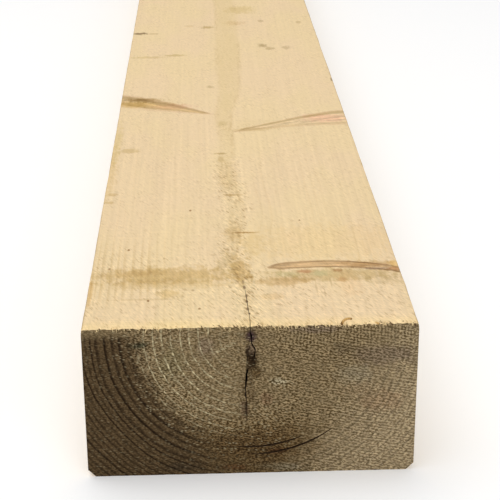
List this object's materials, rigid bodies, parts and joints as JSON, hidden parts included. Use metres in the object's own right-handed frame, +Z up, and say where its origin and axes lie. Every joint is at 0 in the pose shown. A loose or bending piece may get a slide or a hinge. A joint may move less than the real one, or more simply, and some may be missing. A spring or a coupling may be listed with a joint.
{
  "type": "railway sleeper",
  "caption": "Sawn softwood sleeper of rectangular section, with a heart check and ring shakes in its near end.",
  "frame": {"origin": "middle of the bed face, the wide face that the sleeper lies on, half-way along its length", "axes": "+Y along the length, away from the end with the heart check; +X across the width; +Z up, out of the top face"},
  "size_m": [0.2, 2.4, 0.1],
  "materials": {
    "sawn_softwood": "fine-sawn, matt; weathered brown on the near end grain"
  },
  "bodies": {
    "root": {"sleeper": "sawn_softwood"}
  },
  "joints": []
}
